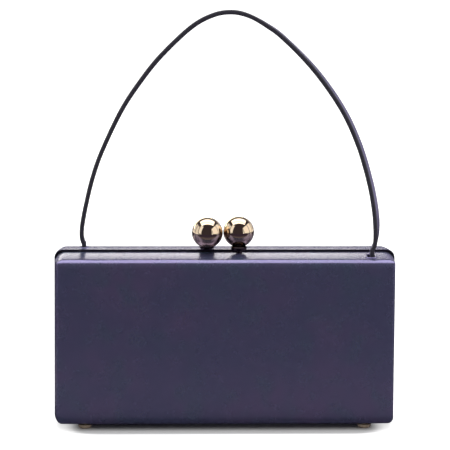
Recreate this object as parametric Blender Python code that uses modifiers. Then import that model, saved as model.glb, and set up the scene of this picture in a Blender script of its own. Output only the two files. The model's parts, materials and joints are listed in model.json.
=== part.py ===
# Hard box evening bag: two drafted trays on a bottom hinge, a two-ball kiss clasp on top
# and one flat strap that runs from the back half on the left to the front half on the right.
# Metres, +Z up. The floor is Z = 0, the seam between the halves is the plane Y = 0 and the
# front of the bag faces -Y.

import math

import bmesh
import bpy
from mathutils import Matrix, Vector

# Fits and cuts
gap = 0.0003                    # left between two pieces that touch
slot_clearance = 0.0005         # round the strap in its slot
overrun = 0.003                 # how far a cutter runs past what it cuts
merge_limit = 0.00001           # points nearer than this are one

# Body, measured at the seam, where both halves are largest
body_width = 0.200
body_height = 0.101             # without the step between the tops of the two halves
back_top_rise = 0.0007
front_top_drop = 0.00045
body_depth = 0.046
wall_draft = 0.0016             # how far each wall draws in from seam to face
back_mouth_corner = 0.0050      # radius of the top corners at the seam
back_face_corner = 0.0065       # and at the face
front_mouth_corner = 0.0072
front_face_corner = 0.0034
bottom_corner_radius = 0.0034
face_fillet = 0.0030            # roll from a wall into the front or back face
least_round = 0.0004            # smallest roll on an inner layer
seam_groove = 0.0011            # between the two leathers along the seam
corner_steps = 5
fillet_steps = 3
turn_steps = 18                 # round a stud, post or nut
bore_steps = 16                 # round a hole, pin or rivet

# Layers of each half, from the outside in
cover_thickness = 0.0009
shell_thickness = 0.0012
lining_thickness = 0.0006
rim_thickness = 0.0014
rim_depth = 0.0060              # from the seam into the half

# Feet
foot_height = 0.0020            # from the floor to the seam edge of the underside
foot_inset = 0.0180             # from the side wall at the seam
foot_face_inset = 0.0090        # from the front or back face
foot_radius = 0.0040
foot_flat_radius = 0.0021
foot_edge = 0.0005              # straight edge above the dome
foot_shank_radius = 0.0011
foot_nut_radius = 0.0026
foot_nut_thickness = 0.0012
foot_shank_end = 0.0004         # past its nut

# Kiss clasp
ball_diameter = 0.0181
ball_clearance = 0.0004         # between the balls as they pass
clasp_offset = -0.0012          # of the pair from the middle of the bag
ball_lift = 0.00185             # underside of a ball above the body
ball_lean = 0.0016              # each ball's centre past the seam, over the other half
post_setback = 0.0030           # from the seam
post_radius = 0.0013
post_entry = 0.0050             # into the ball
collar_radius = 0.0044          # disc under the ball
collar_thickness = 0.0005
neck_radius = 0.0024            # between the disc and the leather
nut_radius = 0.0029             # over the corners
nut_thickness = 0.0020
post_end = 0.0008               # past its nut

# Hinge: two stations on the bottom seam
hinge_inset = 0.0480            # from the side wall at the seam to the middle of a station
hinge_length = 0.034
hinge_axis_drop = 0.0002        # hinge axis below the underside at the seam
knuckle_radius = 0.0015
hinge_pin_radius = 0.0006
leaf_thickness = 0.0010
web_setback = 0.0005            # a leaf's web from the seam
hinge_rivet_inset = 0.0060      # from the end of the leaf
hinge_rivet_radius = 0.0007
hinge_rivet_head_radius = 0.0014
hinge_rivet_head_height = 0.0006

# Strap and what holds it
strap_width = 0.0060
strap_thickness = 0.0023
strap_edge_round = 0.0005
strap_left_inset = 0.0175       # root on the back half, from the side wall at the seam
strap_right_inset = 0.0145      # root on the front half, from the side wall at the seam
strap_rise = 0.1391             # from the roots to the middle of the strap at its highest
strap_tab_rise = 0.0020         # strap end above the leather
strap_stub = 0.0010             # straight length at each end of the strap
strap_plate_length = 0.0140
strap_plate_width = 0.0090
strap_plate_thickness = 0.0008
keeper_radius = 0.0009
keeper_length = 0.0120
strap_tail = 0.0030             # strap end below its keeper bar

# Side gussets, folded between the halves
gusset_thickness = 0.0005
gusset_mouth = 0.0064           # between the two leaves at the rim
gusset_top_fold = 0.0260        # how far the fold reaches in at the top
gusset_bottom_fold = 0.0030
gusset_low_clearance = 0.0160   # lower edge above the underside of the body
gusset_high_clearance = 0.0130  # upper edge below the top of the body
gusset_steps = 8

# Strap route: x as a share of half the span between the roots, z as a share of the rise
strap_route_shares = [
    (-1.012, 0.018), (-1.017, 0.042), (-1.012, 0.090), (-0.982, 0.189), (-0.936, 0.296),
    (-0.871, 0.406), (-0.744, 0.579), (-0.610, 0.712), (-0.468, 0.818), (-0.270, 0.934),
    (-0.110, 0.987), (0.019, 1.000), (0.130, 0.987), (0.250, 0.949), (0.380, 0.891),
    (0.596, 0.759), (0.782, 0.603), (0.902, 0.452), (0.986, 0.294), (1.024, 0.180),
    (1.033, 0.100), (1.024, 0.042), (1.010, 0.018),
]
# Twist of the strap about its own run, in degrees, at shares of its length
strap_twist_shares = [
    (0.00, 0), (0.15, -2), (0.35, -5), (0.50, -9), (0.62, 4), (0.75, 12), (0.90, 16), (1.00, 0),
]
route_steps = 2

# Worked out from the sizes above
half_depth = body_depth / 2
body_base = foot_height
body_top = body_base + body_height
shell_outer = cover_thickness + gap
shell_inner = shell_outer + shell_thickness
inner_layer = shell_inner + gap
rim_inner = inner_layer + rim_thickness
lining_inner = inner_layer + lining_thickness
hinge_z = body_base - hinge_axis_drop
foot_x = body_width / 2 - foot_inset
foot_setback = half_depth - foot_face_inset
strap_setback = half_depth / 2
hinge_x = body_width / 2 - hinge_inset
strap_left_x = strap_left_inset - body_width / 2
strap_right_x = body_width / 2 - strap_right_inset
ball_radius = ball_diameter / 2
ball_z = body_top + ball_lift + ball_radius
ball_spacing = ball_diameter + ball_clearance

navy = (0.035, 0.032, 0.068, 1)
seam_dark = (0.012, 0.010, 0.020, 1)
plum = (0.050, 0.030, 0.070, 1)
gold = (0.80, 0.60, 0.40, 1)


def draft_at(depth):
    return wall_draft * depth / half_depth


strap_root_z = body_top - draft_at(strap_setback) + strap_tab_rise + gap

halves = {
    "back": {
        "side": 1,
        "top": body_top + back_top_rise,
        "corners": (back_mouth_corner, back_face_corner),
        "ball_x": clasp_offset - ball_spacing / 2,
        "strap_x": strap_left_x,
        "origin": Vector((0, 0, 0)),
    },
    "front": {
        "side": -1,
        "top": body_top - front_top_drop,
        "corners": (front_mouth_corner, front_face_corner),
        "ball_x": clasp_offset + ball_spacing / 2,
        "strap_x": strap_right_x,
        "origin": Vector((0, 0, hinge_z)),
    },
}

for leftover in list(bpy.data.objects):
    bpy.data.objects.remove(leftover, do_unlink=True)

bag = bpy.data.collections.new("top_handle_bag")
cutters = bpy.data.collections.new("cutters")
bpy.context.scene.collection.children.link(bag)
bpy.context.scene.collection.children.link(cutters)


def add_pivot(name, location):
    pivot = bpy.data.objects.new(name, None)
    pivot.empty_display_size = foot_radius
    pivot.location = location
    bag.objects.link(pivot)
    return pivot


pivots = {name: add_pivot(name + "_pivot", half["origin"]) for name, half in halves.items()}
pivots["handle"] = add_pivot("handle_pivot", Vector((strap_left_x, strap_setback, strap_root_z)))


# Objects, materials and cuts

def finish(name, color, roughness, metallic):
    material = bpy.data.materials.new(name + "_finish")
    material.use_nodes = True
    shader = material.node_tree.nodes["Principled BSDF"]
    shader.inputs["Base Color"].default_value = color
    shader.inputs["Roughness"].default_value = roughness
    shader.inputs["Metallic"].default_value = metallic
    material.diffuse_color = color
    return material


def leather(name):
    return finish(name, navy, 0.45, 0)


def brass(name):
    return finish(name, gold, 0.18, 1)


def add_part(name, bm, location, body, material):
    # The mesh is drawn about the object's own origin, which goes to a world location
    mesh = bpy.data.meshes.new(name)
    bm.to_mesh(mesh)
    bm.free()
    mesh.materials.append(material)
    part = bpy.data.objects.new(name, mesh)
    part.parent = pivots[body]
    part.location = Vector(location) - pivots[body].location
    bag.objects.link(part)
    return part


def add_cutter(name, bm, location, rotation=(0, 0, 0)):
    mesh = bpy.data.meshes.new(name)
    bm.to_mesh(mesh)
    bm.free()
    cutter = bpy.data.objects.new(name, mesh)
    cutter.location = location
    cutter.rotation_euler = rotation
    cutter.hide_render = True
    cutter.display_type = "WIRE"
    cutters.objects.link(cutter)
    return cutter


def combine(part, tool, operation):
    boolean = part.modifiers.new(tool.name, "BOOLEAN")
    boolean.object = tool
    boolean.operation = operation
    boolean.solver = "EXACT"


def cut(parts, tool):
    for part in parts:
        combine(part, tool, "DIFFERENCE")


def shade_round(part):
    part.data.shade_smooth()
    part.data.set_sharp_from_angle(angle=math.radians(35))


# Shapes

def box(size_x, size_y, size_z):
    bm = bmesh.new()
    bmesh.ops.create_cube(bm, size=1)
    bmesh.ops.scale(bm, vec=(size_x, size_y, size_z), verts=bm.verts)
    return bm


def rod(radius, length, segments, axis="Z"):
    bm = bmesh.new()
    turn = Matrix.Rotation(math.radians(90), 4, "Y") if axis == "X" else Matrix()
    bmesh.ops.create_cone(
        bm, cap_ends=True, segments=segments, radius1=radius, radius2=radius, depth=length, matrix=turn
    )
    return bm


def turned(name, profile, location, body, material, segments):
    # The profile is (radius, height), from the axis at the top down the outer side to the axis
    bm = bmesh.new()
    verts = [bm.verts.new((radius, 0, height)) for radius, height in profile]
    for upper, lower in zip(verts, verts[1:]):
        bm.edges.new((upper, lower))
    part = add_part(name, bm, location, body, material)
    screw = part.modifiers.new("turn", "SCREW")
    screw.axis = "Z"
    screw.steps = segments
    screw.render_steps = segments
    screw.use_merge_vertices = True
    screw.merge_threshold = merge_limit
    screw.use_smooth_shade = True
    return part


def skin_rows(bm, rings, closed):
    # Quads between rings of equal count; an open stack is capped at both ends
    rows = [[bm.verts.new(point) for point in ring] for ring in rings]
    pairs = list(zip(rows, rows[1:]))
    if closed:
        pairs.append((rows[-1], rows[0]))
    else:
        bm.faces.new(rows[0])
        bm.faces.new(rows[-1])
    for row, following in pairs:
        for index, vert in enumerate(row):
            after = (index + 1) % len(row)
            bm.faces.new((vert, row[after], following[after], following[index]))
    bmesh.ops.recalc_face_normals(bm, faces=bm.faces)


def layer_fillet(inset):
    return max(face_fillet - inset, least_round)


def section(depth, inset, rolled, half):
    # Rounded rectangle of one layer, at a depth from the seam
    drawn_in = draft_at(depth) + inset + rolled
    half_width = body_width / 2 - drawn_in
    low = body_base + drawn_in
    high = half["top"] - drawn_in
    mouth_corner, face_corner = half["corners"]
    top_corner = mouth_corner + (face_corner - mouth_corner) * depth / half_depth
    corners = (
        (1, 1, top_corner, 0),
        (-1, 1, top_corner, 90),
        (-1, -1, bottom_corner_radius, 180),
        (1, -1, bottom_corner_radius, 270),
    )
    points = []
    for x_sign, z_sign, nominal, start in corners:
        radius = max(nominal - inset, layer_fillet(inset) + least_round) - rolled
        centre_x = x_sign * (half_width - radius)
        centre_z = high - radius if z_sign > 0 else low + radius
        for step in range(corner_steps + 1):
            angle = math.radians(start + 90 * step / corner_steps)
            x = centre_x + radius * math.cos(angle)
            z = centre_z + radius * math.sin(angle)
            points.append((x, half["side"] * depth, z))
    return points


def tray_surface(mouth, inset, half):
    # Sections from the mouth to the face, with the roll between them
    fillet = layer_fillet(inset)
    face = half_depth - inset
    rings = [section(mouth, inset, 0, half)]
    for step in range(fillet_steps + 1):
        angle = math.radians(90 * step / fillet_steps)
        depth = face - fillet + fillet * math.sin(angle)
        rings.append(section(depth, inset, fillet * (1 - math.cos(angle)), half))
    return rings


def tray(name, mouth, outer, inner, half_name, material):
    half = halves[half_name]
    bm = bmesh.new()
    rings = list(reversed(tray_surface(mouth, inner, half))) + tray_surface(mouth, outer, half)
    skin_rows(bm, rings, closed=False)
    bmesh.ops.translate(bm, vec=-half["origin"], verts=bm.verts)
    part = add_part(name, bm, half["origin"], half_name, material)
    shade_round(part)
    return part


def frame_ring(name, half_name, material):
    half = halves[half_name]
    start = gap / 2
    rings = [
        section(start, inner_layer, 0, half),
        section(rim_depth, inner_layer, 0, half),
        section(rim_depth, rim_inner, 0, half),
        section(start, rim_inner, 0, half),
    ]
    bm = bmesh.new()
    skin_rows(bm, rings, closed=True)
    bmesh.ops.translate(bm, vec=-half["origin"], verts=bm.verts)
    part = add_part(name, bm, half["origin"], half_name, material)
    shade_round(part)
    return part


# Trays: leather, stiff shell, rim frame and lining of one half

def build_trays(half_name):
    return {
        "cover": tray(half_name + "_cover", seam_groove / 2, 0, cover_thickness, half_name,
                      leather(half_name + "_cover")),
        "shell": tray(half_name + "_shell", gap / 2, shell_outer, shell_inner, half_name,
                      finish(half_name + "_shell", seam_dark, 0.5, 0)),
        "rim": frame_ring(half_name + "_rim", half_name, brass(half_name + "_rim")),
        "lining": tray(half_name + "_lining", rim_depth + gap, inner_layer, lining_inner, half_name,
                       finish(half_name + "_lining", plum, 0.7, 0)),
    }


# Feet: a turned stud on a shank, with a round nut inside

def build_feet(half_name, trays):
    side = halves[half_name]["side"]
    seat = body_base + draft_at(foot_setback - foot_radius) - gap
    nut_low = body_base + lining_inner + draft_at(foot_setback + foot_nut_radius) + gap
    nut_high = nut_low + foot_nut_thickness
    dome = []
    for step in range(fillet_steps + 1):
        angle = math.radians(90 * step / fillet_steps)
        dome_radius = foot_flat_radius + (foot_radius - foot_flat_radius) * math.cos(angle)
        dome.append((dome_radius, (seat - foot_edge) * (1 - math.sin(angle))))
    stud = [(0, nut_high + foot_shank_end), (foot_shank_radius, nut_high + foot_shank_end),
            (foot_shank_radius, seat), (foot_radius, seat)] + dome + [(0, 0)]
    bore = foot_shank_radius + gap
    ring = [(bore, nut_high), (foot_nut_radius, nut_high), (foot_nut_radius, nut_low),
            (bore, nut_low), (bore, nut_high)]
    for where, x in (("left", -foot_x), ("right", foot_x)):
        place = (x, side * foot_setback, 0)
        name = half_name + "_foot_" + where
        turned(name, stud, place, half_name, brass(name), turn_steps)
        name = half_name + "_foot_nut_" + where
        turned(name, ring, place, half_name, brass(name), turn_steps)
        height = nut_high + 2 * overrun
        tool = add_cutter(half_name + "_foot_hole_" + where, rod(bore, height, bore_steps),
                          (x, side * foot_setback, nut_high - height / 2))
        cut((trays["cover"], trays["shell"], trays["lining"]), tool)


# Kiss clasp: ball, post and nut of one half

def build_clasp(half_name, trays):
    half = halves[half_name]
    side = half["side"]
    x = half["ball_x"]
    offset = post_setback + ball_lean
    post_top = ball_z - math.sqrt(ball_radius ** 2 - offset ** 2) + post_entry
    collar_high = ball_z - ball_radius - gap
    collar_low = collar_high - collar_thickness
    neck_low = half["top"] - draft_at(post_setback - neck_radius) + gap
    nut_high = half["top"] - rim_inner - draft_at(rim_depth) - gap
    nut_low = nut_high - nut_thickness
    post_low = nut_low - post_end
    bore = post_radius + gap

    name = half_name + "_ball"
    bm = bmesh.new()
    bmesh.ops.create_uvsphere(bm, u_segments=32, v_segments=16, radius=ball_radius)
    ball = add_part(name, bm, (x, -side * ball_lean, ball_z), half_name, brass(name))
    ball.data.shade_smooth()
    socket = add_cutter(half_name + "_ball_socket", rod(bore, post_top + gap - collar_high, bore_steps),
                        (x, side * post_setback, (post_top + gap + collar_high) / 2))
    cut((ball,), socket)

    name = half_name + "_ball_post"
    profile = [(0, post_top), (post_radius, post_top), (post_radius, collar_high),
               (collar_radius, collar_high), (collar_radius, collar_low), (neck_radius, collar_low),
               (neck_radius, neck_low), (post_radius, neck_low), (post_radius, post_low), (0, post_low)]
    turned(name, [(radius, height - neck_low) for radius, height in profile],
           (x, side * post_setback, neck_low), half_name, brass(name), turn_steps)

    name = half_name + "_post_nut"
    nut = add_part(name, rod(nut_radius, nut_thickness, 6),
                   (x, side * post_setback, (nut_high + nut_low) / 2), half_name, brass(name))
    reach = half["top"] + overrun - (nut_low - overrun)
    hole = add_cutter(half_name + "_post_hole", rod(bore, reach, bore_steps),
                      (x, side * post_setback, half["top"] + overrun - reach / 2))
    cut((trays["cover"], trays["shell"], trays["rim"], nut), hole)


# Strap end, plate and keeper bar inside one half, where the strap is anchored

def build_strap_anchor(half_name, trays):
    half = halves[half_name]
    side = half["side"]
    x = half["strap_x"]
    y = side * strap_setback
    plate_high = half["top"] - lining_inner - draft_at(strap_setback + strap_plate_width / 2) - gap
    plate_low = plate_high - strap_plate_thickness
    keeper_z = plate_low - gap - keeper_radius
    end_high = strap_root_z - gap
    end_low = keeper_z - keeper_radius - strap_tail
    keeper_bore = keeper_radius + gap

    name = half_name + "_strap_end"
    strap_end = add_part(name, box(strap_thickness, strap_width, end_high - end_low),
                         (x, y, (end_high + end_low) / 2), half_name, leather(name))
    cross = add_cutter(half_name + "_keeper_hole",
                       rod(keeper_bore, strap_thickness + 2 * overrun, bore_steps, "X"), (x, y, keeper_z))
    cut((strap_end,), cross)

    name = half_name + "_strap_plate"
    plate = add_part(name, box(strap_plate_length, strap_plate_width, strap_plate_thickness),
                     (x, y, (plate_high + plate_low) / 2), half_name, brass(name))
    slot_low = plate_low - overrun
    slot_high = half["top"] + overrun
    slot = add_cutter(half_name + "_strap_slot",
                      box(strap_thickness + 2 * slot_clearance, strap_width + 2 * slot_clearance,
                          slot_high - slot_low), (x, y, (slot_high + slot_low) / 2))
    cut((trays["cover"], trays["shell"], trays["lining"], plate), slot)

    name = half_name + "_strap_keeper"
    keeper = add_part(name, rod(keeper_radius, keeper_length, bore_steps, "X"), (x, y, keeper_z), half_name,
                      brass(name))
    shade_round(keeper)


# Hinge leaf of one half at one station: a plate on the rim, a web through the seam, knuckles

def build_hinge_leaf(half_name, where, station_x, trays):
    side = halves[half_name]["side"]
    web_outer = web_setback + leaf_thickness
    rivet_y = side * (web_outer + rim_depth) / 2
    plate_low = body_base + rim_inner + draft_at(rim_depth) + gap
    plate_high = plate_low + leaf_thickness
    plate_middle = (plate_low + plate_high) / 2
    web_low = hinge_z + knuckle_radius + gap
    knuckle_low = hinge_z - knuckle_radius - overrun

    # Its outline: along the plate, down the web's seam side, round the knuckle, up the other side
    outline = [(rim_depth, plate_low), (rim_depth, plate_high), (web_setback, plate_high)]
    first = math.acos(web_setback / knuckle_radius)
    last = math.tau + math.acos(min(web_outer / knuckle_radius, 1))
    for step in range(turn_steps + 1):
        angle = first + (last - first) * step / turn_steps
        outline.append((knuckle_radius * math.cos(angle), hinge_z + knuckle_radius * math.sin(angle)))
    outline.append((web_outer, plate_low))
    place = Vector((station_x, side * rim_depth / 2, plate_middle))
    bm = bmesh.new()
    ends = (station_x - hinge_length / 2, station_x + hinge_length / 2)
    skin_rows(bm, [[Vector((x, side * y, z)) - place for y, z in outline] for x in ends], closed=False)
    name = half_name + "_hinge_leaf_" + where
    leaf = add_part(name, bm, place, half_name, brass(name))

    # Each half keeps the knuckles where the other half is cut away
    middle = (hinge_length - 2 * gap) / 3
    if half_name == "back":
        openings = [(0, middle + 2 * gap)]
    else:
        beside = (hinge_length - middle) / 2 + overrun
        openings = [(sign * (middle + beside) / 2, beside) for sign in (-1, 1)]
    for index, (shift, length) in enumerate(openings):
        tool = add_cutter(name + "_opening_" + str(index + 1),
                          box(length, 2 * rim_depth, web_low - knuckle_low),
                          (station_x + shift, 0, (web_low + knuckle_low) / 2))
        cut((leaf,), tool)
    bore = add_cutter(name + "_bore",
                      rod(hinge_pin_radius + gap, hinge_length + 2 * overrun, bore_steps, "X"),
                      (station_x, 0, hinge_z))
    cut((leaf,), bore)

    notch_low = body_base - overrun
    notch_high = plate_high + overrun
    notch = add_cutter(name + "_notch",
                       box(hinge_length + 2 * gap, 2 * (knuckle_radius + gap), notch_high - notch_low),
                       (station_x, 0, (notch_high + notch_low) / 2))
    cut((trays["cover"], trays["shell"], trays["rim"]), notch)

    rivet_low = body_base + shell_outer + draft_at(rim_depth)
    for number, sign in (("1", -1), ("2", 1)):
        x = station_x + sign * (hinge_length / 2 - hinge_rivet_inset)
        rivet_name = half_name + "_hinge_rivet_" + where + "_" + number
        head_low = plate_high + gap
        profile = [(0, head_low + hinge_rivet_head_height),
                   (hinge_rivet_radius, head_low + hinge_rivet_head_height),
                   (hinge_rivet_head_radius, head_low + hinge_rivet_head_height / 2),
                   (hinge_rivet_head_radius, head_low), (hinge_rivet_radius, head_low),
                   (hinge_rivet_radius, rivet_low), (0, rivet_low)]
        turned(rivet_name, [(radius, height - rivet_low) for radius, height in profile],
               (x, rivet_y, rivet_low), half_name, brass(rivet_name), bore_steps)
        reach = head_low + overrun - body_base
        hole = add_cutter(rivet_name + "_hole", rod(hinge_rivet_radius + gap, reach, bore_steps),
                          (x, rivet_y, body_base + reach / 2))
        cut((leaf, trays["rim"], trays["shell"]), hole)


def build_hinge_pin(where, station_x):
    name = "hinge_pin_" + where
    pin = add_part(name, rod(hinge_pin_radius, hinge_length, bore_steps, "X"),
                   (station_x, 0, hinge_z), "back", finish(name, gold, 0.3, 1))
    shade_round(pin)


# Gusset: two leaves that meet in one inward fold, widening to the top

def build_gusset(where, sign):
    name = "gusset_" + where
    mouth = gusset_mouth / 2
    edge_x = body_width / 2 - rim_inner - draft_at(mouth) - gap
    rings = []
    low = body_base + gusset_low_clearance
    high = body_top - gusset_high_clearance
    for step in range(gusset_steps + 1):
        height = low + (high - low) * step / gusset_steps
        reach = gusset_bottom_fold + (gusset_top_fold - gusset_bottom_fold) * step / gusset_steps
        # One leaf is this much longer than deep, so its slanted wall keeps its thickness
        slant = gusset_thickness * math.hypot(reach, mouth)
        inner_reach = reach - slant / mouth
        inner_mouth = mouth - slant / reach
        outline = [(0, mouth), (reach, 0), (0, -mouth), (0, -inner_mouth), (inner_reach, 0),
                   (0, inner_mouth)]
        rings.append([(sign * (edge_x - along), across, height) for along, across in outline])
    bm = bmesh.new()
    skin_rows(bm, rings, closed=False)
    # The leaves are twisted, so the shorter diagonals are drawn in, the same on both of their sides
    bmesh.ops.triangulate(bm, faces=bm.faces, quad_method="SHORT_EDGE")
    add_part(name, bm, (0, 0, 0), "back", finish(name, plum, 0.6, 0))


# Strap: a ribbon along its route, given its thickness

def route_points():
    centre_x = (strap_left_x + strap_right_x) / 2
    half_span = (strap_right_x - strap_left_x) / 2
    controls = [Vector((strap_left_x, 0, strap_root_z + strap_stub))]
    for x_share, z_share in strap_route_shares:
        controls.append(Vector((centre_x + half_span * x_share, 0, strap_root_z + strap_rise * z_share)))
    controls.append(Vector((strap_right_x, 0, strap_root_z + strap_stub)))
    path = [Vector((strap_left_x, 0, strap_root_z))]
    for index in range(len(controls) - 1):
        before = controls[max(index - 1, 0)]
        start = controls[index]
        end = controls[index + 1]
        after = controls[min(index + 2, len(controls) - 1)]
        for step in range(route_steps):
            t = step / route_steps
            point = start * 2 + (end - before) * t
            point += (before * 2 - start * 5 + end * 4 - after) * t ** 2
            point += (start * 3 - before - end * 3 + after) * t ** 3
            path.append(point / 2)
    path.append(controls[-1])
    path.append(Vector((strap_right_x, 0, strap_root_z)))
    return path


def twist_at(share):
    for (low, low_twist), (high, high_twist) in zip(strap_twist_shares, strap_twist_shares[1:]):
        if share <= high:
            t = (share - low) / (high - low)
            blend = t * t * (3 - 2 * t)
            return low_twist + (high_twist - low_twist) * blend
    return strap_twist_shares[-1][1]


def build_strap():
    path = route_points()
    lengths = [0]
    for start, end in zip(path, path[1:]):
        lengths.append(lengths[-1] + (end - start).length)
    stub_share = strap_stub / lengths[-1]
    for point, length in zip(path, lengths):
        # The strap crosses from the back half to the front half between its straight ends
        share = (length / lengths[-1] - stub_share) / (1 - 2 * stub_share)
        point.y = strap_setback * math.cos(math.pi * min(max(share, 0), 1))
    origin = pivots["handle"].location
    bm = bmesh.new()
    previous = None
    for index, point in enumerate(path):
        before = path[max(index - 1, 0)]
        after = path[min(index + 1, len(path) - 1)]
        run = (after - before).normalized()
        across = Vector((0, 1, 0))
        if 1 < index < len(path) - 2:
            twist = math.radians(twist_at(lengths[index] / lengths[-1]))
            across -= run * run.y
            across.normalize()
            across.rotate(Matrix.Rotation(twist, 3, run))
        row = [bm.verts.new(point - origin + across * strap_width / 2 * sign) for sign in (-1, 1)]
        if previous:
            bm.faces.new((previous[0], previous[1], row[1], row[0]))
        previous = row
    strap = add_part("handle_strap", bm, origin, "handle", leather("handle_strap"))
    strap.data.shade_smooth()
    solidify = strap.modifiers.new("thickness", "SOLIDIFY")
    solidify.thickness = strap_thickness
    solidify.offset = 0
    solidify.use_even_offset = True
    bevel = strap.modifiers.new("edges", "BEVEL")
    bevel.width = strap_edge_round
    bevel.segments = 2
    bevel.limit_method = "ANGLE"
    bevel.angle_limit = math.radians(60)
    print("strap length between its ends, m:", round(lengths[-1], 4))


for name in halves:
    half_trays = build_trays(name)
    build_feet(name, half_trays)
    build_clasp(name, half_trays)
    build_strap_anchor(name, half_trays)
    for where, station_x in (("left", -hinge_x), ("right", hinge_x)):
        build_hinge_leaf(name, where, station_x, half_trays)

for where, sign in (("left", -1), ("right", 1)):
    build_hinge_pin(where, sign * hinge_x)
    build_gusset(where, sign)

build_strap()
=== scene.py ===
# Looks of the hard box evening bag: navy leather trays, kiss clasp, strap, feet and lining.
import json
import math

import bmesh
import bpy
from mathutils import Matrix, Vector, noise


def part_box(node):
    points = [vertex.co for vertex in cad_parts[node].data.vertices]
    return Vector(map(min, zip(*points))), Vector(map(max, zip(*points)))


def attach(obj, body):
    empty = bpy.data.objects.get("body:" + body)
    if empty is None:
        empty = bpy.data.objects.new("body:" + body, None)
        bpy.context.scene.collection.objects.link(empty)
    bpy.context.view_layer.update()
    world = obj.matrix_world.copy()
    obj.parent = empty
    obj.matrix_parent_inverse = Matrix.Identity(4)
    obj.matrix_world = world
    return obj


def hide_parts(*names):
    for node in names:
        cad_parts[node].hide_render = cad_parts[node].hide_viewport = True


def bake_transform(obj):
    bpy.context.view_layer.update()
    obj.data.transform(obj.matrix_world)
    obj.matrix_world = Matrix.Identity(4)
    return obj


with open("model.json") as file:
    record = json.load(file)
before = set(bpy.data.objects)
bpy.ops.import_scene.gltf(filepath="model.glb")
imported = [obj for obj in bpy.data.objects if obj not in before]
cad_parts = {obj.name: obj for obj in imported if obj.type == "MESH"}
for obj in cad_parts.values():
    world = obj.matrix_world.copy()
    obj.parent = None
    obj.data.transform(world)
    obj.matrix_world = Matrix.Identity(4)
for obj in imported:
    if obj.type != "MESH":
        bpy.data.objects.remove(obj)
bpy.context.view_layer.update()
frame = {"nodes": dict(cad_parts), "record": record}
scene = bpy.context.scene
nodes = frame["nodes"]
mm = 0.001


# Camera: a long lens in front, a little above and to the left, turned slightly to the right

lens = {
    "distance": 2.082,
    "lookDown": 9.82,       # degrees
    "turn": 2.30,           # degrees to the right
    "aside": -0.0837,       # of the middle of the bag
    "target": 0.1182,       # height it looks at
    "focal": 3560,          # in pixels of the photograph
    "picture": 450,
    "sensor": 36,
    "reach": 20,            # as far as it sees
}


def placeCamera():
    down = math.radians(lens["lookDown"])
    turn = math.radians(lens["turn"])
    right = Vector((1, 0, 0))
    forward = Vector((0, math.cos(down), -math.sin(down)))
    up = Vector((0, math.sin(down), math.cos(down)))
    sight = forward * math.cos(turn) + right * math.sin(turn)
    across = right * math.cos(turn) - forward * math.sin(turn)
    data = bpy.data.cameras.new("camera")
    data.sensor_width = lens["sensor"]
    data.lens = lens["focal"] / lens["picture"] * lens["sensor"]
    data.clip_end = lens["reach"]
    camera = bpy.data.objects.new("camera", data)
    scene.collection.objects.link(camera)
    place = Vector((lens["aside"], 0, lens["target"])) - forward * lens["distance"]
    turned = Matrix((across, up, -sight)).transposed().to_4x4()
    camera.matrix_world = Matrix.Translation(place) @ turned
    scene.camera = camera


placeCamera()
print("camera placed")


# Finishes

class Wire:                 # a socket; sums, differences and products of wires add Math nodes
    def __init__(self, finish, socket):
        self.finish = finish
        self.socket = socket

    def __add__(self, other):
        return self.finish.maths("ADD", self, other)

    def __sub__(self, other):
        return self.finish.maths("SUBTRACT", self, other)

    def __rsub__(self, other):
        return self.finish.maths("SUBTRACT", other, self)

    def __mul__(self, other):
        return self.finish.maths("MULTIPLY", self, other)

    __radd__ = __add__
    __rmul__ = __mul__


class Finish:               # the node tree of a material or of the world
    def __init__(self, owner):
        self.owner = owner
        owner.use_nodes = True
        self.tree = owner.node_tree
        self.tree.nodes.clear()

    def add(self, kind, settings, sockets, output=0):
        node = self.tree.nodes.new("ShaderNode" + kind)
        for name, value in settings.items():
            if name == "stops":
                for element, (place, level) in zip(node.color_ramp.elements, value):
                    element.position = place
                    element.color = (level, level, level, 1)
            else:
                setattr(node, name, value)
        for name, value in sockets.items():
            if isinstance(value, Wire):
                self.tree.links.new(value.socket, node.inputs[name])
            else:
                node.inputs[name].default_value = value
        return Wire(self, node.outputs[output]) if node.outputs else None

    def maths(self, operation, first, second):
        return self.add("Math", {"operation": operation}, {0: first, 1: second})

    def place(self):
        return self.add("TexCoord", {}, {}, "Object")

    def noise(self, size, detail=2, roughness=0.5, stretch=None):
        where = self.place()
        if stretch:
            where = self.add("Mapping", {}, {"Vector": where, "Scale": stretch})
        return self.add("TexNoise", {}, {"Vector": where, "Scale": 1 / size, "Detail": detail,
                                         "Roughness": roughness})

    def creases(self, size):
        # Distance to the edge of the pebble that a point is in
        return self.add("TexVoronoi", {"feature": "DISTANCE_TO_EDGE"},
                        {"Vector": self.place(), "Scale": 1 / size})

    def ramp(self, wire, low, high):
        return self.add("ValToRGB", {"stops": ((low, 0), (high, 1))}, {0: wire})

    def mixed(self, share, first, second):
        return self.add("Mix", {"data_type": "RGBA"}, {0: share, 6: first, 7: second}, 2)

    def bump(self, height, depth):
        return self.add("Bump", {}, {"Height": height, "Distance": depth, "Strength": 1})

    def surface(self, sockets):
        shader = self.add("BsdfPrincipled", {}, sockets)
        self.add("OutputMaterial", {}, {"Surface": shader})
        return self.owner


def newFinish(name):
    return Finish(bpy.data.materials.new(name))


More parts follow.
